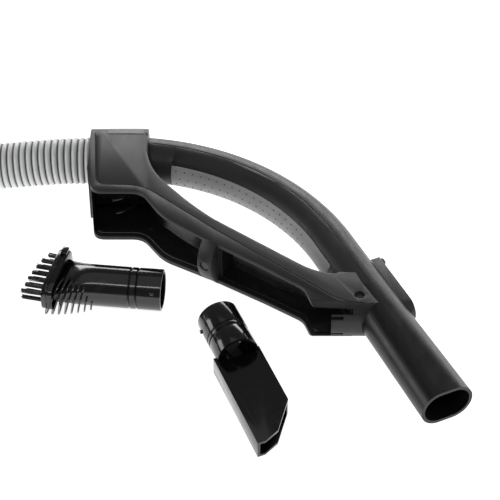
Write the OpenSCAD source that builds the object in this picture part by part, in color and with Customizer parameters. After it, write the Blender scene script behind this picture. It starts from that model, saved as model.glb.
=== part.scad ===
// Hose handle of a cylinder vacuum cleaner, lying on its side, with its hose and two stored tools.
// Plan coordinates: X along the hose axis, Y across, measured from the head's hose face.
// Z is up. The row's origin lies on the table, under the hose axis, in the middle of the head.

/* [Head] */
// Length of the head along the hose axis
head_len = 46; // [44:1:56]
// Thickness of the head across its two flat sides
head_thick = 52; // [52:1:60]
// Distance from the hose axis to the head's open edge
head_drop = 66; // [62:1:76]
// Wall of the side panels
panel_wall = 3; // [2:0.2:4]
// Wall on the finger side of the bar
finger_wall = 3; // [2:0.2:4]

/* [Bar] */
// Where the bar's finger side ends along X
bar_reach = 212; // [208:1:230]
// How far the bar's finger side comes down across Y
bar_drop = 149; // [144:1:156]
// Thickness of the bar just past the head
bar_thick = 41.5; // [40:0.5:48]
// Thickness of the bar at its far end
bar_end_thick = 34.5; // [33:0.5:38]
// Width of the bridge between the two tool recesses
bridge_width = 13; // [10:1:16]

/* [Grip] */
// Radius of the grip's centre line
grip_bend = 184.5; // [180:0.5:192]
// Outside diameter of the grip
grip_od = 36; // [34:0.5:38]
// Wall of the grip and the wand tube
grip_wall = 3; // [2:0.2:3.4]
// Thickness of the soft insert
insert_thick = 1.6; // [1:0.1:1.8]

/* [Wand tube] */
// Length of the straight tube, from the end of the bend to the mouth
tube_len = 180; // [165:1:200]
// Width of the mouth in the plane of the handle
mouth_width = 41; // [38:1:46]
// Thickness of the mouth across the handle
mouth_thick = 30; // [28:1:34]
// Wall at the mouth
mouth_wall = 2.5; // [1.8:0.1:3]

/* [Suction regulator] */
// Length of the regulator's frame along the tube
vent_len = 59; // [56:1:70]
// Length of the sliding cover
slider_len = 36; // [32:1:38]
// Travel of the sliding cover
slider_travel = 12; // [8:1:14]

/* [Hose] */
// Outside diameter of the hose
hose_od = 38.5; // [36:0.5:39]
// Bore of the hose and its cuffs
hose_bore = 32; // [30:0.5:32]
// Radius of the stored coil's centre line
coil_radius = 220; // [200:5:240]
// Turn of the stored coil in degrees
coil_turn = 275; // [265:1:285]

/* [Tools] */
// Outside diameter of both tool sockets
socket_od = 32; // [30:0.5:34]
// Wall of the tool sockets
socket_wall = 2; // [1.6:0.1:2.6]
// Length of the dusting brush's collar across the tool
brush_width = 52; // [48:1:60]
// Length of the crevice tool
nozzle_len = 126; // [120:1:140]

/* [Hidden] */
$fn = 64;

eps = 0.01;
far = 400;
seam = 0.15;         // gap at a line between two mouldings
clear = 0.3;         // gap between pieces that turn or slide on each other
overlap = 0.05;      // lengths of one moulding run into each other by this much
axis_z = head_thick / 2;
origin_x = 25;       // the row's origin, from the hose face

// The finger side, from the head to the wand tube: each corner is x, y and how far its curve reaches
finger_corners = [
    [head_len, 4, 0], [head_len, -35, 26], [88.5, -82.5, 24],
    [bar_reach - 33, -bar_drop, 16], [bar_reach, -bar_drop, 0]
];
// The line where the body's side panel meets the tool frame
groove_corners = [
    [4, 4, 0], [8, 8 - head_drop, 9], [44, 7 - head_drop, 14], [104, -106.5, 24],
    [bar_reach - 14, -bar_drop - 32, 14], [bar_reach + 13, -bar_drop - 31.5, 0]
];
// The frame's free edge, round the two tool recesses
rim_corners = [
    [0, 4, 0], [4, -head_drop, 9], [43, -head_drop, 8], [60, -92.5, 9], [106, -123, 0],
    [141, -146.5, 2], [bar_reach - 44, -bar_drop - 17, 5], [bar_reach - 36, -bar_drop - 41, 12],
    [bar_reach, -bar_drop - 41, 6], [bar_reach + 13, -bar_drop - 31.5, 0]
];
edge = 3.4;          // the frame's lip beside each recess, across the bar
end_skin = 3;        // the wall under the recess's far end
knee = 100;          // the bar has its own thickness from here on
ceiling = -26;       // the top of the brush recess, just under the hose socket
head_cut = ceiling + 1;  // where the body's head solid meets its knee solid
bar_cut = 100;       // where the knee solid meets the bar solid
hairline = 0.02;     // between solids of one moulding, so that they stay apart
collar = 4;          // the frame's end plate round the hose

// The bridge crosses the bar here, square to it
bar_slope = -36.5;
bridge_at = [98, -117.5];
bridge_bulge = 8.5;  // how far the bridge stands below the free edges
arch_r = (pow(bar_thick / 2, 2) + pow(bridge_bulge, 2)) / (2 * bridge_bulge);
belly_bulge = 9;     // the far end's round underside
belly_r = (pow(bar_end_thick / 2, 2) + pow(belly_bulge, 2)) / (2 * belly_bulge);
end_wall = 8;        // solid length at the bar's far end

grip_centre = [24.4, -181.9];
grip_start = 83.4;   // the grip leaves the head at this angle of its bend
grip_end = 25;       // and runs straight on from this one
grip_r = grip_od / 2;
tube_start = grip_centre + grip_bend * [cos(grip_end), sin(grip_end)];
joint_at = 62;       // the two grip halves end here along the tube
insert_from = 76;
insert_run = 26;     // how far the insert follows the straight tube
insert_edge = 0.84;  // its edge, as a share of the grip's radius

vent_at = 33;        // the frame's upper end along the tube
vent_half = 10;      // half its width
vent_rise = 5;       // how far it stands off the tube
vent_wall = 2.6;
rib_rise = 4;        // the thumb rib, above the slider
leaf = 0.5;          // thickness of the detent spring

cuff_r = hose_od / 2 + 0.6;
flange_r = cuff_r + 2.8;
flange_at = 9;
flange_len = 3;
cuff_len = 34;
seal_len = 2.4;

hose_sides = 12;
hose_r = hose_od / 2;
// The hose from the head to the coil, laid down onto the table
hose_route = [
    [0, 0, 26], [-2, 0, 26], [-15, 0, 25.8], [-30, 0, 24.9], [-45, 0, 23.4], [-60, 0, 21.8], [-75, 0, 20.5],
    [-90, 0, 19.7], [-105, 0, 19.4], [-120, 0, 19.25], [-140, 0, 19.25], [-160, 0, 19.25],
    [-180, 0, 19.25], [-200, 0, 19.25], [-220, 0, 19.25], [-240, 0, 19.25], [-260, 0, 19.25],
    [-280, 0, 19.25], [-310, 0, 19.25]
];
coil_centre = [-310, -coil_radius, hose_r];
coil_end = 90 + coil_turn;
end_cuff_len = 34;
collar_len = 14;
spigot_len = 34;
spigot_r = 17.5;

socket_r = socket_od / 2;
socket_len = 52;
neck_len = 26;
brush_at = [62, -140];
brush_heading = 173.7;
collar_tilt = -7.7;  // the collar leans against the neck
collar_thick = 24;
collar_shift = -2.5; // the collar stands off the socket's axis, away from the fins
collar_run = 9;
tuft_count = 8;
tuft_len = 19;
fin_count = 8;

nozzle_at = [104, -169];
nozzle_heading = -68.5;
nozzle_socket = 42;
blade_thick = 15;
blade_width = 36;

function unit(v) = v / norm(v);
function flat2(p) = [p[0], p[1]];
function quad(a, b, c, t) = (1 - t) * (1 - t) * a + 2 * t * (1 - t) * b + t * t * c;

// A line through corners, each rounded over its own reach
function soften(c, steps = 6) = [
    for (i = [0 : len(c) - 1])
        let (b = flat2(c[i]), reach = c[i][2])
            each reach == 0 ? [b] : [
                for (k = [0 : steps])
                    quad(
                        b + reach * unit(flat2(c[i - 1]) - b), b,
                        b + reach * unit(flat2(c[i + 1]) - b), k / steps
                    )
            ]
];
function normal_at(p, i) =
    let (a = p[max(i - 1, 0)], b = p[min(i + 1, len(p) - 1)], t = unit(b - a)) [t[1], -t[0]];
// The same line, moved by d to its right-hand side
function shifted(p, d) = [for (i = [0 : len(p) - 1]) p[i] + d * normal_at(p, i)];
function backwards(p) = [for (i = [len(p) - 1 : -1 : 0]) p[i]];

finger = soften(finger_corners);
groove = soften(groove_corners);
rim = soften(rim_corners);

module placed() translate([-origin_x, 0, 0]) children();

// A slab seen from the side: full thickness over the head, thinner towards the bar's end
module thickness(inset = 0) {
    at_knee = (head_thick - bar_thick) / 2;
    at_end = (head_thick - bar_end_thick) / 2;
    under = [
        [-far, inset], [head_len, inset], [knee, at_knee + inset],
        [bar_reach, at_end + inset], [far, at_end + inset]
    ];
    rotate([90, 0, 0])
        translate([0, 0, -far / 2])
        linear_extrude(far)
        polygon(concat(under, backwards([for (p = under) [p[0], head_thick - p[1]]])));
}

module slab(outline, inset = 0) {
    intersection() {
        linear_extrude(head_thick) polygon(outline);
        thickness(inset);
    }
}

module along_x(from, to, r) translate([from, 0, axis_z]) rotate([0, 90, 0]) cylinder(h = to - from, r = r);

// Sweeps a section round the grip's bend and down the straight tube
module along_grip(from, to, run, lap = 0) {
    if (from > to)
        translate([grip_centre[0], grip_centre[1], axis_z])
            rotate([0, 0, to])
            rotate_extrude(angle = from - to)
            translate([grip_bend, 0])
            children();
    if (run > 0) on_tube(-lap, run) children();
}
module on_tube(from, to)
    translate([tube_start[0], tube_start[1], axis_z])
        rotate([90, 0, grip_end])
        translate([0, 0, from])
        linear_extrude(to - from)
        children();

module stadium(width, thick) {
    gap = width - thick;
    square([gap, thick], center = true);
    for (side = [-1, 1]) translate([side * gap / 2, 0]) circle(d = thick);
}

// The bridge's place: +X along the bar, +Y towards the finger side
module at_bridge() translate([bridge_at[0], bridge_at[1], axis_z]) rotate([0, 0, bar_slope]) children();

// The space of the two tool recesses, with its finger-side wall moved in by wall
module recess_plan(wall) {
    top = ceiling - wall + finger_wall;
    end = bar_reach - end_wall - wall + finger_wall;
    side = collar + wall - finger_wall;
    inner = [for (p = shifted(finger, wall)) if (p[1] < top && p[0] < end) p];
    polygon(concat(
        [[side, -head_drop - 30], [side, top], [inner[0][0] - 2.5, top]],
        inner,
        [[end, inner[len(inner) - 1][1]], [end, -bar_drop - 90]]
    ));
}
module recess(wall, inset, from = -far, to = far) {
    intersection() {
        linear_extrude(head_thick) recess_plan(wall);
        thickness(inset);
        at_bridge() translate([from, -far / 2, -far / 2]) cube([to - from, far, far]);
    }
}

module head_block(to_y) {
    intersection() {
        along_x(collar + seam, head_len, head_thick / 2);
        translate([0, to_y, 0]) cube([head_len, head_thick, head_thick]);
    }
}

// The main moulding: the head round the hose swivel, the side panels and the bar's finger side
module body_shell() {
    inner = backwards([for (p = shifted(groove, -seam)) if (p[1] < 3) p]);
    difference() {
        union() {
            slab(concat([[collar + seam, 4]], finger, inner));
            head_block(0);
        }
        along_x(0, flange_at + flange_len + clear, flange_r + clear);
        along_x(0, cuff_len + seal_len + clear, cuff_r + clear);
        along_x(0, head_len + 5, grip_r - grip_wall);
        recess(finger_wall, panel_wall, to = -bridge_width / 2);
        recess(finger_wall, panel_wall, from = bridge_width / 2);
        cover_pocket(seam);
        grip_space();
        bridge_screw_hole(shank_r);
        panel_screw_hole(shank_r + 0.4);
    }
}
// One moulding, drawn as three solids a hairline apart: head, knee and bar
module handle_body() placed() color([0.19, 0.19, 0.20]) difference() {
    body_shell();
    translate([-far, head_cut, -far]) cube([2 * far, hairline, 2 * far]);
    translate([bar_cut, head_cut - far, -far]) cube([hairline, far, 2 * far]);
}

// The lower moulding: end plate round the hose, lips of both recesses, bridge and snap end
module tool_frame() placed() color([0.15, 0.15, 0.16]) {
    difference() {
        union() {
            slab(concat(groove, backwards(rim)));
            intersection() {
                along_x(0, collar, head_thick / 2);
                cube([collar, head_thick, head_thick]);
            }
            translate([0, -40, 0]) cube([collar, 44, head_thick]);
            bridge();
        }
        along_x(-1, cuff_len, cuff_r + clear);
        along_x(collar, cuff_len, flange_r + clear + seam);
        difference() {
            recess(finger_wall, edge);
            bridge_zone(0);
            end_shell();
        }
        belly_trim();
        snap_slots();
        grip_space();
        bridge_screw_hole(shank_r + 0.4);
    }
}
module bridge_zone(grow)
    at_bridge()
        translate([-bridge_width / 2 - grow, -far / 2, -far / 2])
        cube([bridge_width + 2 * grow, far, far]);
module bridge()
    intersection() {
        at_bridge()
            translate([-bridge_width / 2, arch_r - bridge_bulge, 0])
            rotate([0, 90, 0])
            cylinder(h = bridge_width, r = arch_r);
        linear_extrude(head_thick) polygon(concat(groove, [[bar_reach, -far], [-20, -far]]));
        thickness();
    }
// The far end's underside is round across the bar
module belly_trim(inset = 0)
    difference() {
        translate([bar_reach - 46, -bar_drop - 41.5, -1]) cube([60, 17, head_thick + 2]);
        translate([0, belly_r - bar_drop - 41, axis_z])
            rotate([0, 90, 0])
            cylinder(h = far, r = belly_r - inset);
    }
// The wall that closes the recess under the snap tongue
module end_shell()
    linear_extrude(head_thick)
        polygon(concat(
            [for (p = rim) if (p[0] > bar_reach - 26) p],
            backwards([for (p = shifted(rim, -end_skin)) if (p[0] > bar_reach - 26) p])
        ));
module snap_slots() {
    slot = 2.4;
    for (side = [-1, 1])
        translate([bar_reach - 40, -bar_drop - 45, axis_z + side * 8 - slot / 2]) cube([25, 12, slot]);
}

// A glossy liner in each recess, open on the free side
module recess_liner(from, to, wall) {
    gap = edge + seam;
    difference() {
        recess(finger_wall + seam, gap, from, to);
        recess(finger_wall + seam + wall, gap + wall, from + wall, to - wall);
        beyond_rim(end_skin + seam);
        belly_trim(end_skin + seam);
        bridge_screw_hole(shank_r);
        grip_space();
    }
}
module beyond_rim(inset)
    linear_extrude(head_thick)
        polygon(concat([[-20, 4]], shifted(rim, -inset), [[bar_reach + 13, -far], [-20, -far]]));

module brush_cradle() placed() color([0.03, 0.03, 0.035])
    recess_liner(-far, -bridge_width / 2 - seam, 1.6);
module nozzle_cradle() placed() color([0.03, 0.03, 0.035])
    recess_liner(bridge_width / 2 + seam, far, 1.6);

// The strip let into the head's round back
module cover_pocket(gap)
    difference() {
        intersection() {
            along_x(14 - gap, head_len - 3 + gap, head_thick / 2 + 1);
            translate([0, 9 - gap, 0]) cube([head_len, head_thick, head_thick]);
        }
        along_x(0, head_len, head_thick / 2 - 1.6 - gap);
    }
module top_cover() placed() color([0.22, 0.22, 0.23])
    intersection() {
        cover_pocket(0);
        along_x(0, head_len, head_thick / 2 + 0.3);
    }

// The two halves of the grip; the back one runs on as the wand tube
module ring(outer, inner) difference() {
    circle(outer);
    circle(inner);
}
module half(side)
    translate([side > 0 ? seam / 2 : -far, -far / 2])
    square([far - (side > 0 ? 0 : seam / 2), far]);
module grip_half(side) intersection() {
    ring(grip_r, grip_r - grip_wall);
    half(side);
}
// The straight tube beyond the grip halves, round at the grip and oval at the mouth
module wand(grow) hull() {
    on_tube(joint_at + 2 * eps, joint_at + 1) circle(grip_r + grow, $fn = 48);
    on_tube(tube_len - 1, tube_len) stadium(mouth_width + 2 * grow, mouth_thick + 2 * grow, $fn = 48);
}
// The room that the grip and the wand take in the pieces round them
module grip_space() {
    along_grip(grip_start, grip_end, joint_at + 0.5, overlap) circle(grip_r + seam + overlap);
    wand(seam);
}
module wand_bore() hull() {
    on_tube(joint_at - 1, joint_at) circle(grip_r - grip_wall, $fn = 48);
    on_tube(tube_len, tube_len + 1)
        stadium(mouth_width - 2 * mouth_wall, mouth_thick - 2 * mouth_wall, $fn = 48);
}
module grip_back() placed() color([0.13, 0.13, 0.14]) {
    along_grip(grip_start, grip_end, joint_at) grip_half(1);
    difference() {
        wand(0);
        wand_bore();
        vent_hole();
        panel_screw_hole(shank_r);
    }
}
module grip_front() placed() color([0.16, 0.16, 0.17]) {
    along_grip(grip_start, insert_from, 0) grip_half(-1);
    along_grip(insert_from, grip_end, insert_run) difference() {
        grip_half(-1);
        insert_zone(seam);
    }
    on_tube(insert_run, joint_at - seam) grip_half(-1);
}
module insert_zone(gap) difference() {
    translate([-far, -far / 2]) square([far - insert_edge * grip_r + gap, far]);
    circle(grip_r - insert_thick - gap);
}
module grip_insert() placed() color([0.55, 0.56, 0.57])
    along_grip(insert_from, grip_end, insert_run)
        intersection() {
            insert_zone(0);
            circle(grip_r + 0.3);
        }

// The suction regulator on the tube's back: a frame, a vent hole and a sliding cover
module on_vent(from, to, low, high, half_width)
    on_tube(from, to) translate([low, -half_width]) square([high - low, 2 * half_width]);
module vent_hole() on_vent(vent_at + slider_len - 5, vent_at + slider_len + 2, 0, far / 10, 5);
module vent_frame() placed() color([0.16, 0.16, 0.17])
    difference() {
        union() {
            on_vent(vent_at, vent_at + vent_len - vent_half, 0, grip_r + vent_rise, vent_half);
            vent_nose();
        }
        grip_space();
        on_vent(vent_at - 1, vent_at + slider_len + 4 + clear, grip_r + 1.6, far / 10, vent_half - vent_wall);
        vent_hole();
    }
module vent_nose()
    translate([tube_start[0], tube_start[1], axis_z])
        rotate([90, 0, grip_end])
        translate([0, 0, vent_at + vent_len - vent_half])
        rotate([0, 90, 0])
        cylinder(h = grip_r + vent_rise, r = vent_half);
module vent_slider() placed() color([0.14, 0.14, 0.15]) {
    low = grip_r + 1.6 + leaf + clear;
    top = grip_r + vent_rise - 0.4;
    width = vent_half - vent_wall - clear;
    on_vent(vent_at + 4, vent_at + 4 + slider_len, low, top, width);
    on_vent(vent_at - 1, vent_at + 4 + eps, low, top + rib_rise, width);
}
// A strip of spring steel under the slider that holds it by friction
module vent_spring() placed() color([0.7, 0.7, 0.72])
    on_vent(vent_at + 8, vent_at + 24, grip_r + 1.6, grip_r + 1.6 + leaf, 3);

// Both self-tapping screws: one down through the panel into the wand tube's wall, one up through the bridge
screw_spot = [208.9, -172.8];
panel_seat = 39.6;
bridge_seat = 3 - bridge_bulge;
shank_r = 1.4;
screw_head_r = 3.4;
well_r = 4;
module screw(length) {
    cylinder(h = 2.2, r = screw_head_r);
    translate([0, 0, -length]) cylinder(h = length + eps, r = shank_r);
}
module screw_hole(r, length) {
    cylinder(h = 20, r = well_r);
    translate([0, 0, -length - 1]) cylinder(h = length + 2, r = r + 0.05);
}
module at_panel_screw() translate([screw_spot[0], screw_spot[1], panel_seat]) children();
module at_bridge_screw() at_bridge() translate([0, bridge_seat, 0]) rotate([90, 0, 0]) children();
module case_screws() placed() color([0.45, 0.45, 0.47]) {
    at_panel_screw() screw(5.4);
    at_bridge_screw() screw(25);
}
module panel_screw_hole(r) at_panel_screw() screw_hole(r, 5.4);
module bridge_screw_hole(r) at_bridge_screw() screw_hole(r, 25);

// The hose's swivel inside the head
module tube_ring(from, to, outer, inner)
    translate([from, 0, axis_z])
        rotate([0, 90, 0])
        difference() {
            cylinder(h = to - from, r = outer);
            translate([0, 0, -1]) cylinder(h = to - from + 2, r = inner);
        }
module retaining_ring() placed() color([0.08, 0.08, 0.09])
    tube_ring(collar + seam, flange_at - clear, flange_r + clear, cuff_r + clear);
module swivel_seal() placed() color([0.06, 0.06, 0.06])
    tube_ring(cuff_len + clear, cuff_len + clear + seal_len, cuff_r + clear, grip_r - grip_wall);
module swivel_cuff() placed() color([0.10, 0.10, 0.11])
    difference() {
        union() {
            along_x(0, cuff_len, cuff_r);
            along_x(flange_at, flange_at + flange_len, flange_r);
        }
        along_x(-1, cuff_len + 1, hose_bore / 2);
    }

// The hose: a swept tube as far as the coil, and the coil itself
function hose_ring(i) =
    let (t = unit(hose_route[min(i + 1, len(hose_route) - 1)] - hose_route[max(i - 1, 0)]),
         up = [-t[2], 0, t[0]] * -1)
    [for (k = [0 : hose_sides - 1])
        hose_route[i] + hose_r * (cos(k * 360 / hose_sides) * up + sin(k * 360 / hose_sides) * [0, 1, 0])];
module hose_tube() placed() color([0.66, 0.67, 0.68]) {
    rings = len(hose_route);
    points = [for (i = [0 : rings - 1]) each hose_ring(i)];
    walls = [
        for (i = [0 : rings - 2]) for (k = [0 : hose_sides - 1])
            let (n = (k + 1) % hose_sides, a = i * hose_sides, b = a + hose_sides)
                [a + k, a + n, b + n, b + k]
    ];
    ends = [
        [for (k = [hose_sides - 1 : -1 : 0]) k],
        [for (k = [0 : hose_sides - 1]) (rings - 1) * hose_sides + k]
    ];
    polyhedron(points = points, faces = concat(walls, ends), convexity = 4);
}
module hose_coil() placed() color([0.66, 0.67, 0.68])
    translate(coil_centre)
        rotate([0, 0, 90])
        rotate_extrude(angle = coil_turn)
        translate([coil_radius, 0])
        circle(hose_r);
// The far end, straight on from the coil
module at_coil_end()
    translate(coil_centre)
        rotate([0, 0, coil_end])
        translate([coil_radius, 0, 0])
        rotate([-90, 0, 0])
        children();
module end_cuff() placed() color([0.12, 0.12, 0.13])
    at_coil_end() difference() {
        cylinder(h = end_cuff_len, r = hose_r - 0.05);
        translate([0, 0, -1]) cylinder(h = end_cuff_len + 2, r = hose_bore / 2);
    }
module end_connector() placed() color([0.12, 0.12, 0.13])
    at_coil_end() translate([0, 0, end_cuff_len]) difference() {
        union() {
            cylinder(h = collar_len, r = hose_r - 0.05);
            cylinder(h = collar_len + spigot_len, r = spigot_r);
        }
        translate([0, 0, -1]) cylinder(h = collar_len + spigot_len + 2, r = hose_bore / 2 - 0.5);
        translate([0, 0, collar_len + 10]) difference() {
            cylinder(h = 3, r = spigot_r + 1);
            translate([0, 0, -1]) cylinder(h = 5, r = spigot_r - 0.8);
        }
    }
module end_seal() placed() color([0.04, 0.04, 0.04])
    at_coil_end() translate([0, 0, end_cuff_len + collar_len + 10 + eps]) difference() {
        cylinder(h = 3 - 2 * eps, r = spigot_r + 0.4);
        translate([0, 0, -1]) cylinder(h = 5, r = spigot_r - 0.8 + eps);
    }

// A tool's place: +Z runs from the socket's mouth along the tool
module lying(spot, heading)
    translate([spot[0], spot[1], socket_r])
        rotate([0, 90, heading])
        children();

// The dusting brush: socket and flared neck, collar, and tufts of bristle
module collar_outline(less) stadium_tall(collar_thick - 2 * less, brush_width - 2 * less);
module stadium_tall(thick, width) rotate([0, 0, 90]) stadium(width, thick);
module brush_body() placed() color([0.05, 0.05, 0.055])
    lying(brush_at, brush_heading) difference() {
        union() {
            cylinder(h = socket_len, r = socket_r);
            hull() {
                translate([0, 0, socket_len - 4]) cylinder(h = 4, r = socket_r, $fn = 32);
                at_collar() translate([0, 0, -1]) linear_extrude(1) collar_outline(2.5, $fn = 32);
            }
            for (k = [0 : fin_count - 1])
                translate([-4, 10, socket_len - 12 + k * 4.2]) cube([8, 10 + k * 1.1, 1.4]);
        }
        translate([0, 0, -1]) cylinder(h = socket_len + 1, r = socket_r - socket_wall);
        translate([0, 0, socket_len - 1]) cylinder(h = neck_len + 20, r = 9);
        for (k = [0, 1]) translate([0, 0, 16 + 4 * k]) difference() {
            cylinder(h = 1.4, r = socket_r + 1);
            translate([0, 0, -1]) cylinder(h = 4, r = socket_r - 0.6);
        }
    }
module at_collar()
    translate([0, collar_shift, socket_len + neck_len])
    rotate([-collar_tilt, 0, 0])
    children();
module brush_collar() placed() color([0.05, 0.05, 0.055])
    lying(brush_at, brush_heading) at_collar() {
        difference() {
            linear_extrude(collar_run) collar_outline(0);
            translate([0, 0, -1]) linear_extrude(collar_run + 2) collar_outline(6);
        }
        translate([-collar_thick / 2 - 2, -brush_width / 2 + 3, 1]) cube([4, 7, 4]);
    }
module brush_tufts() placed() color([0.05, 0.05, 0.05])
    lying(brush_at, brush_heading) at_collar() {
        step = (brush_width - 10) / (tuft_count - 1);
        for (k = [0 : tuft_count - 1])
            translate([-collar_thick / 2 + 4.5, -brush_width / 2 + 5 + k * step - 1.8, 4])
                cube([collar_thick - 9, 3.6, collar_run - 4 + tuft_len]);
    }

// The crevice tool: a round socket scooped into a flat blade, cut off at a slant
module crevice_tool() placed() color([0.05, 0.05, 0.055])
    lying(nozzle_at, nozzle_heading) difference() {
        union() {
            cylinder(h = nozzle_socket, r = socket_r);
            intersection() {
                translate([socket_r - blade_thick, -blade_width / 2, nozzle_socket - 4])
                    cube([blade_thick, blade_width, nozzle_len]);
                rotate([0, 90, 0]) linear_extrude(2 * far, center = true) polygon([
                    [4 - nozzle_socket, -blade_width / 2], [4 - nozzle_socket, blade_width / 2],
                    [-nozzle_len + 31, blade_width / 2], [-nozzle_len + 6, 0], [-nozzle_len, -12],
                    [-nozzle_len, -blade_width / 2]
                ]);
            }
            translate([2, -socket_r - 1.2, 8]) rotate([-90, 0, 0]) cylinder(h = 4, r = 1.6);
        }
        translate([0, 0, -1]) cylinder(h = nozzle_socket + 1, r = socket_r - socket_wall);
        translate([socket_r - blade_thick + 2, -blade_width / 2 + 2, nozzle_socket - 2])
            cube([blade_thick - 4, blade_width - 4, nozzle_len]);
        for (k = [0, 1]) translate([0, 0, 20 + 4 * k]) difference() {
            cylinder(h = 1.4, r = socket_r + 1);
            translate([0, 0, -1]) cylinder(h = 4, r = socket_r - 0.6);
        }
    }

handle_body();
tool_frame();
brush_cradle();
nozzle_cradle();
top_cover();
grip_back();
grip_front();
grip_insert();
vent_frame();
vent_slider();
vent_spring();
case_screws();
retaining_ring();
swivel_seal();
swivel_cuff();
hose_tube();
hose_coil();
end_cuff();
end_connector();
end_seal();
brush_body();
brush_collar();
brush_tufts();
crevice_tool();
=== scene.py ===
import math
import random
import bpy
import bmesh
from mathutils import Matrix, Vector


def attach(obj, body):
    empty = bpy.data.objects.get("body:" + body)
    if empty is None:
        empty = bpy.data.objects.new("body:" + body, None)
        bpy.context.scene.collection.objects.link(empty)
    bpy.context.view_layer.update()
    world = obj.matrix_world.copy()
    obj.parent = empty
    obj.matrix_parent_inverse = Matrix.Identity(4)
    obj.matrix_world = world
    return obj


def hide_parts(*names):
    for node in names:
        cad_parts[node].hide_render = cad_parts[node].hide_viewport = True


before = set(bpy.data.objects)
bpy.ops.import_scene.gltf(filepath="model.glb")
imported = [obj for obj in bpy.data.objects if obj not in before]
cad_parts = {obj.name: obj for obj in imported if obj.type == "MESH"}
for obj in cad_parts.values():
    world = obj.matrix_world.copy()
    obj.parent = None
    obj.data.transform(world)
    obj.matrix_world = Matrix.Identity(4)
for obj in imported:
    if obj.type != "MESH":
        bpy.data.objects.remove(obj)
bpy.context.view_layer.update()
random.seed(4)
mm = 0.001
axisZ = 26  # height of the hose's axis, and the middle of the handle
print("frame loaded")


def at(x, y, z):  # plan millimetres, as the part is drawn, to the row frame
    return Vector(((x - 25) * mm, y * mm, z * mm))


def turned(angle):
    return Vector((math.cos(math.radians(angle)), math.sin(math.radians(angle)), 0))


# camera, studio and floor
view = {"place": (128.1, -1175, 1023), "tilt": 47.0, "lens": 136.7}
cameraData = bpy.data.cameras.new("camera")
cameraData.lens = view["lens"]
cameraData.sensor_width = 36
camera = bpy.data.objects.new("camera", cameraData)
camera.location = at(*view["place"])
camera.rotation_euler = (math.radians(view["tilt"]), 0, 0)
bpy.context.collection.objects.link(camera)
bpy.context.scene.camera = camera
bpy.context.scene.view_settings.view_transform = "Standard"

light = {"world": 0.14, "floorGlow": 0.90, "lamps": [
    ("back", (100, 2000, 700), (-71, 0, 0), (2.2, 0.7), 26),
    ("corner", (1500, 1300, 350), (-80, 0, -48), (1.0, 0.6), 8),
    ("left", (-1900, -200, 450), (0, -77, 0), (0.8, 1.6), 14),
    ("right", (2100, -200, 450), (0, 77, 0), (0.8, 1.6), 14),
    ("front", (60, -1350, 1750), (38, 0, 0), (1.4, 0.16), 5),
    ("top", (100, -100, 2500), (0, 0, 0), (2.6, 2.6), 6.5),
]}
world = bpy.data.worlds.new("studio")
world.use_nodes = True
world.node_tree.nodes["Background"].inputs["Color"].default_value = (1, 1, 1, 1)
world.node_tree.nodes["Background"].inputs["Strength"].default_value = light["world"]
bpy.context.scene.world = world
for name, place, turn, size, power in light["lamps"]:
    lampData = bpy.data.lights.new("lamp_" + name, "AREA")
    lampData.shape = "RECTANGLE"
    lampData.size, lampData.size_y = size
    lampData.energy = power
    lamp = bpy.data.objects.new("lamp_" + name, lampData)
    lamp.location = at(*place)
    lamp.rotation_euler = [math.radians(a) for a in turn]
    bpy.context.collection.objects.link(lamp)


# shader maths: a socket that adds Math nodes when it is used in an expression
class Value:
    def __init__(self, finish, socket):
        self.finish = finish
        self.socket = socket

    def maths(self, operation, a, b):
        return self.finish.node("ShaderNodeMath", {"operation": operation}, {0: a, 1: b})

    def __add__(self, other):
        return self.maths("ADD", self, other)

    def __radd__(self, other):
        return self.maths("ADD", other, self)

    def __sub__(self, other):
        return self.maths("SUBTRACT", self, other)

    def __rsub__(self, other):
        return self.maths("SUBTRACT", other, self)

    def __mul__(self, other):
        return self.maths("MULTIPLY", self, other)

    def __rmul__(self, other):
        return self.maths("MULTIPLY", other, self)


class Finish:
    def __init__(self, name):
        self.material = bpy.data.materials.new(name)
        self.material.use_nodes = True
        self.tree = self.material.node_tree
        self.shader = self.tree.nodes["Principled BSDF"]

    def node(self, kind, settings=None, sockets=None, out=0):
        made = self.tree.nodes.new(kind)
        for key, value in (settings or {}).items():
            setattr(made, key, value)
        for key, value in (sockets or {}).items():
            self.feed(made.inputs[key], value)
        return Value(self, made.outputs[out])

    def feed(self, socket, value):
        if isinstance(value, Value):
            self.tree.links.new(value.socket, socket)
        else:
            socket.default_value = value

    def set(self, **sockets):
        for key, value in sockets.items():
            self.feed(self.shader.inputs[key.replace("_", " ")], value)
        return self

    def place(self, scale=(1, 1, 1)):
        where = self.node("ShaderNodeTexCoord", out="Object")
        return self.node("ShaderNodeMapping", {}, {"Vector": where, "Scale": scale})

    def noise(self, scale, detail=3.0, rough=0.55, stretch=(1, 1, 1)):
        return self.node("ShaderNodeTexNoise", {}, {
            "Vector": self.place(stretch), "Scale": scale, "Detail": detail, "Roughness": rough})

    def span(self, value, low, high, start=0.3, end=0.7):
        return self.node("ShaderNodeMapRange", {}, {
            "Value": value, "From Min": start, "From Max": end, "To Min": low, "To Max": high})

    def blend(self, mask, a, b):
        made = self.node("ShaderNodeMix", {"data_type": "RGBA"}, {"Factor": mask}, out=2)
        self.feed(made.socket.node.inputs[6], a if isinstance(a, Value) else (*a, 1))
        self.feed(made.socket.node.inputs[7], b if isinstance(b, Value) else (*b, 1))
        return made

    def bump(self, height, strength, distance):
        return self.node("ShaderNodeBump", {}, {
            "Height": height, "Strength": strength, "Distance": distance})


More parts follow.
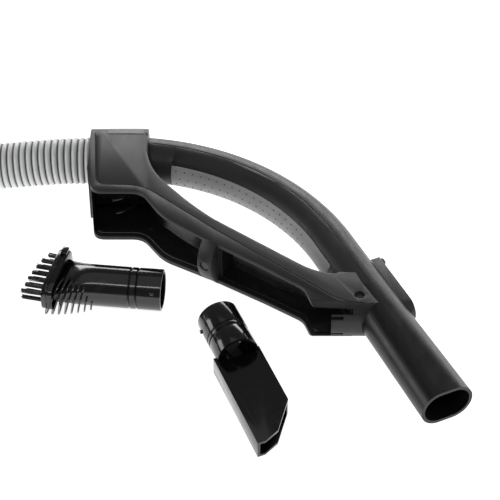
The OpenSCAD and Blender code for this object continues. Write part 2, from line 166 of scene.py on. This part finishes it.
def mouldedPlastic(name, colour, rough, grain=0.35, specular=0.5, shadedFacet=False):
    # satin moulding: fine spark-eroded grain, cloudy colour, faint handling marks
    made = Finish(name)
    cloud = made.noise(26, 4)
    marks = made.noise(140, 5, 0.7, (1, 0.25, 1))
    skin = made.noise(2600, 2)
    pale = [c * 1.22 + 0.002 for c in colour]
    deep = [c * 0.82 for c in colour]
    hue = made.blend(made.span(cloud, 0, 1), deep, pale)
    if shadedFacet:  # the panel's lowered facet gets painted shade: its colour is darkened to stand in for the light it loses
        sunkShade = made.node("ShaderNodeAttribute", {"attribute_name": "sunkShade"}, {}, out="Fac")
        hue = made.blend(sunkShade, hue, [c * 0.45 for c in colour])
    made.set(
        Base_Color=hue,
        Roughness=made.span(marks, rough - 0.05, rough + 0.07) + made.span(cloud, -0.02, 0.02),
        Normal=made.bump(skin, grain, 0.00006),
    )
    made.shader.inputs["Specular IOR Level"].default_value = specular
    return made.material


def glossPlastic(name, colour, rough):
    # polished moulding: slow waviness, hairline scuffs, a little dust
    made = Finish(name)
    scuff = made.noise(420, 6, 0.75, (1, 0.2, 1))
    dust = made.noise(90, 5, 0.65)
    wave = made.noise(38, 1)
    speck = made.span(dust, 0, 1, 0.56, 0.8)
    made.set(
        Base_Color=made.blend(speck, colour, [c + 0.012 for c in colour]),
        Roughness=made.span(scuff, rough, rough + 0.1, 0.45, 0.75) + speck * 0.12,
        Normal=made.bump(wave + scuff * 0.02, 0.35, 0.0003),
        Coat_Weight=0.35 - speck * 0.2,
    )
    made.shader.inputs["Coat Roughness"].default_value = 0.06
    return made.material


def softRubber(name, colour, rough=0.62):
    made = Finish(name)
    cloud = made.noise(34, 4)
    skin = made.noise(1500, 3)
    deep = [c * 0.9 for c in colour]
    pale = [c * 1.1 for c in colour]
    made.set(
        Base_Color=made.blend(made.span(cloud, 0, 1), deep, pale),
        Roughness=made.span(skin, rough - 0.06, rough + 0.08),
        Normal=made.bump(skin, 0.4, 0.00008),
    )
    return made.material


def ribbedHose(name, colour, groove):
    # the crest attribute is 0 in the grooves and 1 on the ribs; the ribs keep the silver, the grooves
    # take the near-black groove colour, which is painted shade
    made = Finish(name)
    crest = made.node("ShaderNodeAttribute", {"attribute_name": "crest"}, {}, out="Fac")
    cloud = made.noise(30, 4)
    skin = made.noise(1800, 3)
    unshadedCrest = made.span(crest, 0, 1, 0.1, 0.8) * made.span(cloud, 0.86, 1.0)
    made.set(
        Base_Color=made.blend(unshadedCrest, groove, colour),
        Roughness=made.span(crest, 0.55, 0.36, 0, 1) + made.span(skin, -0.03, 0.05),
        Normal=made.bump(skin, 0.2, 0.00005),
    )
    return made.material


def steel(name):
    made = Finish(name)
    brushed = made.noise(900, 4, 0.6, (0.1, 1, 1))
    made.set(
        Base_Color=made.blend(made.span(brushed, 0, 1), (0.05, 0.05, 0.052), (0.11, 0.11, 0.115)),
        Roughness=made.span(brushed, 0.28, 0.45),
        Normal=made.bump(brushed, 0.2, 0.00004),
        Metallic=1.0,
    )
    return made.material


def bristle(name):
    made = Finish(name)
    strand = made.noise(700, 3, 0.6, (1, 0.3, 1))
    made.set(
        Base_Color=made.blend(made.span(strand, 0, 1), (0.004, 0.004, 0.0045), (0.03, 0.03, 0.032)),
        Roughness=made.span(strand, 0.35, 0.6),
        Normal=made.bump(strand, 0.3, 0.0001),
    )
    return made.material


def floorPaint(name):
    made = Finish(name)
    cloud = made.noise(3, 2)
    made.set(Base_Color=made.blend(made.span(cloud, 0, 1), (0.96, 0.96, 0.96), (1, 1, 1)),
             Roughness=made.span(cloud, 0.88, 0.92))
    made.shader.inputs["Specular IOR Level"].default_value = 0.0
    made.shader.inputs["Emission Color"].default_value = (1, 1, 1, 1)
    made.shader.inputs["Emission Strength"].default_value = light["floorGlow"]
    return made.material


finishes = {
    # the body's lowered facet carries painted shade in its colour
    "body": mouldedPlastic("charcoal_body", (0.046, 0.046, 0.048), 0.50, shadedFacet=True),
    "frame": mouldedPlastic("charcoal_frame", (0.0135, 0.0135, 0.0145), 0.44, specular=0.4),
    # paler than the body: painted light for the strip's rounded top
    "strip": mouldedPlastic("charcoal_strip_painted_light", (0.075, 0.075, 0.078), 0.40, 0.2),
    "grip": mouldedPlastic("charcoal_grip", (0.0045, 0.0045, 0.005), 0.34, 0.3, 0.35),
    "gripFront": mouldedPlastic("charcoal_grip_inner", (0.022, 0.022, 0.023), 0.42, 0.3, 0.4),
    "regulator": mouldedPlastic("charcoal_regulator", (0.022, 0.022, 0.023), 0.40),
    "cuff": mouldedPlastic("black_cuff", (0.008, 0.008, 0.0085), 0.36, 0.25),
    "liner": glossPlastic("black_liner", (0.011, 0.011, 0.0115), 0.16),
    "tool": glossPlastic("black_tool", (0.004, 0.004, 0.0045), 0.13),
    "insert": softRubber("grey_insert", (0.46, 0.46, 0.465)),
    # near-black pins: painted shade for the insert's small holes
    "dot": softRubber("dot_hole_shade", (0.008, 0.008, 0.008)),
    "shadow": softRubber("seam_shadow", (0.002, 0.002, 0.002), 0.8),
    "seal": softRubber("black_seal", (0.01, 0.01, 0.01), 0.5),
    # silver ribs, and a near-black second colour that is painted shade in the grooves
    "hose": ribbedHose("silver_hose", (0.88, 0.885, 0.89), (0.06, 0.06, 0.062)),
    "steel": steel("dark_steel"),
    "bristle": bristle("black_bristle"),
}
print("finishes made")

floorMesh = bmesh.new()
bmesh.ops.create_grid(floorMesh, x_segments=1, y_segments=1, size=14)
bmesh.ops.translate(floorMesh, verts=floorMesh.verts, vec=(0, 6, -0.0004))
floorData = bpy.data.meshes.new("floor")
floorMesh.to_mesh(floorData)
floorData.materials.append(floorPaint("pale_floor"))
floor = bpy.data.objects.new("floor", floorData)
bpy.context.collection.objects.link(floor)


def finished(name, work, body, look, nodes=(), crease=35):
    # smooth faces, sharp edges where the surface turns more than the crease angle
    for face in work.faces:
        face.smooth = True
    for edge in work.edges:
        edge.smooth = len(edge.link_faces) == 2 and edge.calc_face_angle(0) < math.radians(crease)
    data = bpy.data.meshes.new(name)
    work.to_mesh(data)
    work.free()
    data.materials.append(finishes[look])
    made = bpy.data.objects.new(name, data)
    bpy.context.collection.objects.link(made)
    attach(made, body)
    if nodes:
        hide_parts(*nodes)
    return made


# the hose, ribbed, with its coil; ring centres follow the drawn route
hose = {"radius": 19.25, "depth": 1.7, "pitch": 5.1, "sides": 28,
        "ribs": (0.0, 0.55, 0.93, 1.0, 0.93, 0.55),
        "coil": {"centre": (-310, -220), "radius": 220, "turn": 275, "step": 5}}
route = [(0, 26), (-2, 26), (-15, 25.8), (-30, 24.9), (-45, 23.4), (-60, 21.8), (-75, 20.5),
         (-90, 19.7), (-105, 19.4), (-120, 19.25)]
route += [(x, 19.25) for x in range(-140, -281, -20)]
route = [at(x, 0, z) for x, z in route]
coil = hose["coil"]
steps = round(coil["turn"] / coil["step"])
for i in range(steps + 1):
    spoke = turned(90 + i * coil["turn"] / steps) * coil["radius"]
    route.append(at(coil["centre"][0] + spoke.x, coil["centre"][1] + spoke.y, 19.25))


def evenPoints(line, step):
    # the line's points and directions, a step apart
    lengths = [0]
    for a, b in zip(line, line[1:]):
        lengths.append(lengths[-1] + (b - a).length)
    count = round(lengths[-1] / step)
    points, k = [], 0
    for i in range(count + 1):
        s = lengths[-1] * i / count
        while k < len(line) - 2 and lengths[k + 1] < s:
            k += 1
        t = (s - lengths[k]) / (lengths[k + 1] - lengths[k])
        before, after = line[max(k - 1, 0)], line[min(k + 2, len(line) - 1)]
        a, b = line[k], line[k + 1]
        span = lengths[k + 1] - lengths[k]
        leave = (b - before) / ((a - before).length + span) * span if k else b - a
        enter = (after - a) / ((after - b).length + span) * span if after != b else b - a
        points.append((2 * t**3 - 3 * t**2 + 1) * a + (t**3 - 2 * t**2 + t) * leave
                      + (3 * t**2 - 2 * t**3) * b + (t**3 - t**2) * enter)
    return points


ribSteps = len(hose["ribs"])
line = evenPoints(route, hose["pitch"] * mm / ribSteps)
work = bmesh.new()
crest = work.verts.layers.float.new("crest")
rings = []
for i, point in enumerate(line):
    ahead = (line[min(i + 1, len(line) - 1)] - line[max(i - 1, 0)]).normalized()
    side = ahead.cross(Vector((0, 0, 1))).normalized()
    up = side.cross(ahead)
    share = hose["ribs"][i % ribSteps]
    radius = (hose["radius"] - hose["depth"] * (1 - share)) * mm
    ring = []
    for k in range(hose["sides"]):
        a = 2 * math.pi * k / hose["sides"]
        vert = work.verts.new(point + radius * (math.cos(a) * side + math.sin(a) * up))
        vert[crest] = share
        ring.append(vert)
    if rings:
        for k in range(hose["sides"]):
            n = (k + 1) % hose["sides"]
            work.faces.new((rings[-1][k], rings[-1][n], ring[n], ring[k]))
    rings.append(ring)
work.faces.new(rings[0])
work.faces.new(rings[-1][::-1])
bmesh.ops.recalc_face_normals(work, faces=work.faces)
hosePiece = finished("hose", work, "hose", "hose", ("hose_tube", "hose_coil"), 60)
hoseLength = sum((b - a).length for a, b in zip(line, line[1:]))
print("hose made", round(hoseLength, 3))


def cleaned(node):
    # the node's own shape as whole faces, ready for rounding
    work = bmesh.new()
    work.from_mesh(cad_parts[node].data)
    bmesh.ops.remove_doubles(work, verts=work.verts, dist=0.00002)
    bmesh.ops.dissolve_limit(work, angle_limit=math.radians(1.2), verts=work.verts, edges=work.edges)
    bmesh.ops.dissolve_degenerate(work, edges=work.edges, dist=0.00002)
    return work


def rounded(work, radius, segments=2, crease=28):
    edges = [e for e in work.edges
             if len(e.link_faces) == 2 and e.calc_face_angle(0) > math.radians(crease)]
    bmesh.ops.bevel(work, geom=edges, offset=radius * mm, offset_type="OFFSET", segments=segments,
                    profile=0.5, affect="EDGES", clamp_overlap=True, material=-1)
    return work


def softened(corners, steps=6):
    # plan corners (x, y, rounding) as a line, each corner rounded as in the drawing
    points = []
    for i, corner in enumerate(corners):
        here = Vector(corner[:2])
        if len(corner) < 3:
            points.append(here)
            continue
        before = here + corner[2] * (Vector(corners[i - 1][:2]) - here).normalized()
        after = here + corner[2] * (Vector(corners[i + 1][:2]) - here).normalized()
        for k in range(steps + 1):
            t = k / steps
            points.append((1 - t) ** 2 * before + 2 * t * (1 - t) * here + t * t * after)
    return points


def distanceTo(line, point):
    best = 1e9
    for a, b in zip(line, line[1:]):
        t = max(0, min(1, (point - a).dot(b - a) / (b - a).length_squared))
        best = min(best, (point - a - t * (b - a)).length)
    return best


def bead(name, lines, radius, body, look):
    # round beads along lines of row-frame points: seams, piping and small ribs; in the seams a
    # near-black bead is painted shadow standing in for the dark gap
    curve = bpy.data.curves.new(name, "CURVE")
    curve.dimensions = "3D"
    curve.bevel_depth = radius * mm
    curve.bevel_resolution = 2
    curve.use_fill_caps = True
    for line in lines:
        spline = curve.splines.new("POLY")
        spline.points.add(len(line) - 1)
        for spot, point in zip(spline.points, line):
            spot.co = (*point, 1)
    holder = bpy.data.objects.new(name + "_line", curve)
    bpy.context.collection.objects.link(holder)
    bpy.context.view_layer.update()
    work = bmesh.new()
    graph = bpy.context.evaluated_depsgraph_get()
    work.from_mesh(bpy.data.meshes.new_from_object(holder.evaluated_get(graph)))
    bpy.data.objects.remove(holder)
    bmesh.ops.recalc_face_normals(work, faces=work.faces)
    return finished(name, work, body, look, (), 70)


lines = {  # plan corners with their rounding
    "finger": [(46, 4), (46, -35, 26), (88.5, -82.5, 24), (179, -149, 16), (212, -149)],
    "groove": [(4, 4), (8, -58, 9), (44, -59, 14), (104, -106.5, 24), (198, -181, 14), (222, -180.6)],
}
finger = softened(lines["finger"])
groove = softened(lines["groove"])


def halfThick(x):  # the handle's half thickness, thinner along the bar
    spots = ((46, 26), (100, 20.75), (212, 17.25))
    for (x0, h0), (x1, h1) in zip(spots, spots[1:]):
        if x < x1:
            return h0 + (h1 - h0) * max(0, x - x0) / (x1 - x0)
    return spots[-1][1]


panel = {"cutY": -25, "cutX": 100, "crease": ((9.5, 5), (46, -58.5)), "fall": 0.045,
         "edgeX": 46.05, "barEnd": 196, "round": 3.0, "edge": 0.4, "hairline": 0.03,
         "layers": ((-1, 4.2), (47.8, 54))}


def planSpot(co):
    return Vector((co.x / mm + 25, co.y / mm))


def onFinger(edge):  # both ends lie where a flat side meets the finger side
    return all(distanceTo(finger, planSpot(v.co)) < 0.3 and planSpot(v.co).x < panel["barEnd"]
               and abs(abs(v.co.z / mm - axisZ) - halfThick(planSpot(v.co).x)) < 0.5
               for v in edge.verts)


def bodyShell():
    work = cleaned("handle_body")
    # closes the hairlines between its solids
    bmesh.ops.remove_doubles(work, verts=work.verts, dist=panel["hairline"] * mm)
    inner = [f for f in work.faces
             if all(abs(planSpot(v.co).y - panel["cutY"]) < 0.05 for v in f.verts)
             or all(abs(planSpot(v.co).x - panel["cutX"]) < 0.05 for v in f.verts)]
    bmesh.ops.delete(work, geom=inner, context="FACES")
    bmesh.ops.dissolve_limit(work, angle_limit=math.radians(1.2), verts=work.verts, edges=work.edges)
    # rounded finger side, crisp edges elsewhere
    wide = [e for e in work.edges
            if len(e.link_faces) == 2 and e.calc_face_angle(0) > 0.5 and onFinger(e)]
    bmesh.ops.bevel(work, geom=wide, offset=panel["round"] * mm, offset_type="OFFSET", segments=5,
                    profile=0.5, affect="EDGES", clamp_overlap=False, material=-1)
    rounded(work, panel["edge"], 2, 40)
    # the crease that splits each side panel into two facets
    start, end = (Vector(p) for p in panel["crease"])
    along = (end - start).normalized()
    away = Vector((along.y, -along.x))
    if away.x > 0:
        away = -away
    for low, high in panel["layers"]:
        some = [f for f in work.faces if all(low < v.co.z / mm < high for v in f.verts)
                and all(planSpot(v.co).x < panel["edgeX"] for v in f.verts)]
        geom = dict.fromkeys(some)  # each once, always in the same order
        for f in some:
            geom.update(dict.fromkeys(f.edges))
            geom.update(dict.fromkeys(f.verts))
        bmesh.ops.bisect_plane(work, geom=list(geom), dist=1e-7, plane_co=at(start.x, start.y, 0),
                               plane_no=Vector((away.x, away.y, 0)))
    # marks the lowered facet's flat faces, where the shader paints shade into the colour
    sunkShade = work.faces.layers.float.new("sunkShade")
    for v in work.verts:
        height = v.co.z / mm - axisZ
        depth = (planSpot(v.co) - start).dot(away)
        x = planSpot(v.co).x
        if abs(height) > halfThick(x) - 0.6 and depth > 0 and x < panel["edgeX"]:
            v.co.z -= math.copysign(depth * panel["fall"] * mm, height)
    for f in work.faces:
        centre = planSpot(f.calc_center_median())
        flat = abs(f.normal.z) > 0.9 and abs(f.calc_center_median().z / mm - axisZ) > 23
        below = (centre - start).dot(away) > 0 and centre.x < panel["edgeX"]
        f[sunkShade] = 1.0 if flat and below else 0.0
    return work


finished("body_shell", bodyShell(), "handle", "body", ("handle_body",), 30)
# a near-black bead in the panel groove on both sides: painted shadow standing in for the dark gap of
# the seam
seam = {"radius": 0.6, "sink": 0.36, "end": 214}
seamRow = [[at(p.x, p.y, axisZ + side * (halfThick(p.x) - seam["sink"]))
            for p in groove if p.x < seam["end"]] for side in (1, -1)]
bead("body_seam_shadow", seamRow, seam["radius"], "handle", "shadow")
# a near-black bead along the seam between the grip halves: painted shadow of the gap
gripSeam = {"centre": (24.4, -181.9), "bend": 184.5, "grip": 18, "sink": 0.1, "radius": 0.3,
            "from": 82, "to": 25, "run": 60, "tubeWay": (0.4226, -0.9063, 0)}
arc = [Vector(gripSeam["centre"] + (0,)) + gripSeam["bend"] * turned(gripSeam["from"] - k)
       for k in range(gripSeam["from"] - gripSeam["to"] + 1)]
arc.append(arc[-1] + gripSeam["run"] * Vector(gripSeam["tubeWay"]))
gripRow = [[at(p.x, p.y, axisZ + side * (gripSeam["grip"] - gripSeam["sink"])) for p in arc]
           for side in (1, -1)]
bead("grip_seam_shadow", gripRow, gripSeam["radius"], "handle", "shadow")

kept = {  # slot, body, finish, edge rounding, segments, least edge angle
    "tool_frame": ("frame", "handle", "frame", 0.5, 2, 40),
    "brush_cradle": ("liner", "handle", "liner", 0.5, 2, 30),
    "nozzle_cradle": ("liner", "handle", "liner", 0.5, 2, 30),
    "grip_front": ("grip", "handle", "gripFront", 0.3, 2, 40),
    "grip_insert": ("insert", "handle", "insert", 0.35, 2, 40),
    "vent_frame": ("regulator", "handle", "regulator", 0.6, 3, 28),
    "vent_slider": ("regulator", "slider", "regulator", 0.6, 3, 28),
    "swivel_cuff": ("cuff", "hose", "cuff", 0.4, 2, 40),
    "end_cuff": ("cuff", "hose", "cuff", 0.4, 2, 40),
    "end_connector": ("cuff", "hose", "cuff", 0.5, 2, 40),
    "crevice_tool": ("tool", "crevice", "tool", 0.7, 3, 28),
    "grip_back": ("grip", "handle", "grip", 0.0, 2, 40),
}
for node, (slot, body, look, radius, segments, least) in kept.items():
    work = cleaned(node)
    if radius:
        rounded(work, radius, segments, least)
    finished(node + "_moulding", work, body, look, (node,), 32)

# curved ribs inside the head's recess
ribs = {"centre": (15, -27), "radius": 1.1, "steps": 24,  # sweeps: reach, start, end, height
        "sweeps": ((27, -15, -80, 31), (17, -8, -95, 33), (27, -20, -75, 17))}
rows = []
for reach, start, end, z in ribs["sweeps"]:
    angles = [start + (end - start) * k / ribs["steps"] for k in range(ribs["steps"] + 1)]
    rows.append([at(*(Vector(ribs["centre"]) + reach * turned(a).xy), z) for a in angles])
bead("recess_ribs", rows, ribs["radius"], "handle", "liner")

# the cover strip over the head's back, one sheet bent round the hose axis; its paler colour is painted
# light standing in for the light its rounded top catches
strip = {"from": 14, "to": 43, "inner": 24.4, "outer": 26.3, "low": 5.5, "round": 0.3}
work = bmesh.new()
corners = [(strip["from"], strip["inner"]), (strip["to"], strip["inner"]),
           (strip["to"], strip["outer"]), (strip["from"], strip["outer"])]
profile = [work.verts.new(at(x, 0, axisZ + r)) for x, r in corners]
face = work.faces.new(profile)
turn = Matrix.Rotation(math.radians(-strip["low"]), 4, "X")
bmesh.ops.rotate(work, verts=work.verts, cent=at(0, 0, axisZ), matrix=turn)
bmesh.ops.spin(work, geom=[face] + list(face.edges) + profile, cent=at(0, 0, axisZ),
               axis=(-1, 0, 0), angle=math.radians(180 - 2 * strip["low"]), steps=40,
               use_merge=False, use_normal_flip=False)
bmesh.ops.recalc_face_normals(work, faces=work.faces)
rounded(work, strip["round"], 2, 40)
finished("cover_strip", work, "handle", "strip", ("top_cover",), 30)

# dots of the soft insert, three rows, each a shallow near-black pin: painted shade standing in for a
# small hole in the insert
dots = {"centre": (24.4, -181.9), "bend": 184.5, "grip": 18, "start": 74.6, "step": 2.42,
        "count": 19, "rows": (-20, 1, 21), "radius": 0.6, "proud": 0.32, "height": 0.5}
work = bmesh.new()
for row in dots["rows"]:
    for k in range(dots["count"]):
        a = math.radians(dots["start"] - dots["step"] * (k + (0.5 if row == 1 else 0)))
        lift = math.radians(row)
        out = Vector((math.cos(a), math.sin(a), 0))
        spot = Vector((*dots["centre"], axisZ)) + dots["bend"] * out
        normal = -math.cos(lift) * out + Vector((0, 0, math.sin(lift)))
        place = at(*(spot + (dots["grip"] + dots["proud"]) * normal))
        pose = Matrix.Translation(place) @ normal.to_track_quat("Z", "Y").to_matrix().to_4x4()
        bmesh.ops.create_cone(work, cap_ends=True, segments=10, radius1=dots["radius"] * mm,
                              radius2=dots["radius"] * 0.8 * mm, depth=dots["height"] * mm, matrix=pose)
finished("insert_dots", work, "handle", "dot", (), 40)

# the dusting brush: +Z of its own frame runs from the socket's mouth to the bristles
brush = {"spot": (62, -140, 16), "heading": 173.7, "radius": 16, "bore": 14, "socket": 52, "neck": 26,
         "duct": 9, "shift": -2.5, "tilt": 7.7, "thick": 24, "width": 52, "sides": 72,
         "grooves": (19, 24.5), "square": 4.2}
run = turned(brush["heading"])
brushPose = Matrix.Translation(at(*brush["spot"])) @ Matrix((
    (0, -run.y, run.x, 0), (0, run.x, run.y, 0), (-1, 0, 0, 0), (0, 0, 0, 1))) @ Matrix.Scale(mm, 4)
collarPose = (Matrix.Translation((0, brush["shift"], brush["socket"] + brush["neck"]))
              @ Matrix.Rotation(math.radians(brush["tilt"]), 4, "X"))


def longRound(angle, thick, width):
    # a point of a flat-sided oval, thick along X and width along Y
    power = 2 / brush["square"]
    c, s = math.cos(angle), math.sin(angle)
    return Vector((thick / 2 * math.copysign(abs(c) ** power, c),
                   width / 2 * math.copysign(abs(s) ** power, s), 0))


def lofted(work, rings):
    # one closed skin through rings of points, each extruded from the one before
    ring = bmesh.ops.create_circle(work, segments=len(rings[0]), radius=1)["verts"]
    first = ring
    edges = list(dict.fromkeys(e for v in ring for e in v.link_edges))
    for vert, spot in zip(ring, rings[0]):
        vert.co = spot
    for points in rings[1:]:
        new = bmesh.ops.extrude_edge_only(work, edges=edges)["geom"]
        edges = [g for g in new if isinstance(g, bmesh.types.BMEdge)
                 and all(v in new for v in g.verts)]
        follow = {}
        for vert in (g for g in new if isinstance(g, bmesh.types.BMVert)):
            for edge in vert.link_edges:
                old = edge.other_vert(vert)
                if old not in new:
                    follow[old] = vert
        ring = [follow[v] for v in ring]
        for vert, spot in zip(ring, points):
            vert.co = spot
    return first, ring


def circleRing(radius, z, sides):
    return [Vector((radius * math.cos(a), radius * math.sin(a), z))
            for a in (2 * math.pi * k / sides for k in range(sides))]


def blended(t, less, base):
    # from the round socket at t = 0 to the collar's oval at t = 1
    ease = t ** 2.4
    ring = []
    for k in range(brush["sides"]):
        a = 2 * math.pi * k / brush["sides"]
        low = Vector((base * math.cos(a), base * math.sin(a), brush["socket"] - 4))
        high = collarPose @ longRound(a, brush["thick"] - less, brush["width"] - less)
        spot = low.lerp(high, ease)
        spot.z = low.z + (high.z - low.z) * t
        ring.append(spot)
    return ring


rings = []
for radius, z in ((15.3, 0), (15.8, 0.25), (16, 0.8)):
    rings.append(circleRing(radius, z, brush["sides"]))
for grooveAt in brush["grooves"]:
    for radius, z in ((16, -0.9), (15.5, -0.5), (15.2, 0), (15.5, 0.5), (16, 0.9)):
        rings.append(circleRing(radius, grooveAt + z, brush["sides"]))
for k in range(0, 11):
    rings.append(blended(k / 10, 11, brush["radius"]))
for k in (10, 0):
    rings.append(blended(k / 10, 15, brush["duct"] if k == 0 else 12))
rings.append(circleRing(brush["duct"], brush["socket"] - 4, brush["sides"]))
rings.append(circleRing(brush["bore"], brush["socket"] - 4, brush["sides"]))
rings.append(circleRing(brush["bore"], 0.5, brush["sides"]))
rings.append(circleRing(14.5, 0, brush["sides"]))
work = bmesh.new()
first, last = lofted(work, rings)
for k in range(brush["sides"]):
    n = (k + 1) % brush["sides"]
    work.faces.new((first[k], first[n], last[n], last[k]))
# a round nub by the mouth
nub = {"radius": 1.7, "turn": math.radians(32), "out": (16, 15.9), "up": 6.5}
nubSpot = (-nub["out"][0] * math.sin(nub["turn"]), nub["out"][1] * math.cos(nub["turn"]), nub["up"])
ball = bmesh.ops.create_uvsphere(work, u_segments=16, v_segments=10, radius=nub["radius"])["verts"]
bmesh.ops.translate(work, verts=ball, vec=nubSpot)
bmesh.ops.transform(work, matrix=brushPose, verts=work.verts)
bmesh.ops.recalc_face_normals(work, faces=work.faces)
finished("brush_neck", work, "brush", "tool", ("brush_body",), 38)

# slanted fins on the side towards the table's near edge
fins = {"count": 8, "top": (74.0, -3.55), "foot": (88.0, -4.9),
        "angles": (58, 58, 57, 55, 48, 38, 14, -4),
        "reach": (25.6, 25.3, 24.8, 24.2, 23.4, 22.4, 21.2, 19.6),
        "low": -39, "inner": 12.5, "root": 15.7, "flat": 15.6, "thick": 1.3, "steps": 10}
work = bmesh.new()
for k in range(fins["count"]):
    start = fins["angles"][k]
    topZ = fins["top"][0] + fins["top"][1] * k
    footZ = fins["foot"][0] + fins["foot"][1] * k
    rings = []
    for i in range(fins["steps"] + 1):
        t = i / fins["steps"]
        angle = math.radians(start + (fins["low"] - start) * t)
        full = (58 - start) / (58 - fins["low"])
        z = topZ + (footZ - topZ) * (full + (1 - full) * t)
        outer = fins["root"] + (fins["reach"][k] - fins["root"]) * math.sin(t * math.pi / 2) ** 0.9
        ray = Vector((-math.sin(angle), math.cos(angle), 0))
        half = Vector((0, 0, fins["thick"] / 2))
        ring = [ray * fins["inner"] - half, ray * outer - half,
                ray * outer + half, ray * fins["inner"] + half]
        for spot in ring:
            spot.z += z
            spot.x = min(spot.x, fins["flat"])
        rings.append(ring)
    first, last = lofted(work, rings)
    work.faces.new(first)
    work.faces.new(last[::-1])
rounded(work, 0.35, 2, 60)
bmesh.ops.transform(work, matrix=brushPose, verts=work.verts)
bmesh.ops.recalc_face_normals(work, faces=work.faces)
finished("brush_fins", work, "brush", "tool", (), 38)

# the collar, a rounded oval band with a small catch
work = bmesh.new()
band = {"catch": (4, 8, 5), "wall": 5.5}
sides = brush["sides"]


def ovalRing(less, z):
    thick, width = brush["thick"] - less, brush["width"] - less
    return [collarPose @ (longRound(2 * math.pi * k / sides, thick, width) + Vector((0, 0, z)))
            for k in range(sides)]


hollow = 2 * band["wall"]
rings = [ovalRing(less, z) for less, z in (
    (hollow, 0.6), (hollow, 0), (2.0, 0), (0.6, 0.3), (0, 1), (0, 4.2), (0.7, 4.6), (0, 5),
    (0, 7.8), (0.6, 8.7), (2.2, 9), (hollow, 9), (hollow, 6))]
first, last = lofted(work, rings)
for k in range(sides):
    n = (k + 1) % sides
    work.faces.new((first[k], first[n], last[n], last[k]))
catch = bmesh.ops.create_cube(work, size=1)["verts"]
bmesh.ops.scale(work, verts=catch, vec=band["catch"])
bmesh.ops.translate(work, verts=catch, vec=(-brush["thick"] / 2 + 0.2, -brush["width"] / 2 + 7, 3.4))
bmesh.ops.transform(work, matrix=collarPose, verts=catch)
catchEdges = list(dict.fromkeys(e for v in catch for e in v.link_edges))
bmesh.ops.bevel(work, geom=catchEdges, offset=0.6, offset_type="OFFSET", segments=2, profile=0.5,
                affect="EDGES", material=-1)
bmesh.ops.transform(work, matrix=brushPose, verts=work.verts)
bmesh.ops.recalc_face_normals(work, faces=work.faces)
finished("brush_band", work, "brush", "tool", ("brush_collar",), 38)

# bundles of bristle, each a close bunch of tapered hairs that spreads a little
work = bmesh.new()
hair = {"grid": 4, "gap": 0.62, "radius": 0.36, "rows": (-3.2, 3.2), "pitch": 6.9, "lift": 8.5,
        "lengths": (9.5, 12.7, 14.2, 15.5, 16.2, 16.4, 17.0)}
for row in hair["rows"]:
    for k, length in enumerate(hair["lengths"]):
        middle = Vector((row, (k - 3) * hair["pitch"], 0))
        for i in range(hair["grid"] ** 2):
            column, file = i % hair["grid"] - 1.5, i // hair["grid"] - 1.5
            spread = Vector((column, file, 0)) * hair["gap"]
            wander = Vector((random.uniform(-0.12, 0.12), random.uniform(-0.12, 0.12), 0))
            foot = middle + spread + Vector((0, 0, 5))
            reach = Vector((0, (k - 3) * 0.12, hair["lift"] + length))
            tip = middle + spread * 1.15 + wander * 2 + reach
            tip.z += random.uniform(-0.5, 0.5)
            way = tip - foot
            lean = way.to_track_quat("Z", "Y").to_matrix().to_4x4()
            pose = collarPose @ (Matrix.Translation((foot + tip) / 2) @ lean)
            bmesh.ops.create_cone(work, cap_ends=True, segments=6, radius1=hair["radius"],
                                  radius2=hair["radius"] * 0.8, depth=way.length, matrix=pose)
bmesh.ops.transform(work, matrix=brushPose, verts=work.verts)
finished("brush_bristles", work, "brush", "bristle", ("brush_tufts",), 50)

for node, look in (("vent_spring", "steel"), ("case_screws", "steel"), ("retaining_ring", "cuff"),
                   ("swivel_seal", "seal"), ("end_seal", "seal")):
    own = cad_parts[node]
    own.data.materials.clear()
    own.data.materials.append(finishes[look])

[tuple(p) for p in line[::ribSteps]] + [tuple(line[-1])]

print("all pieces made")
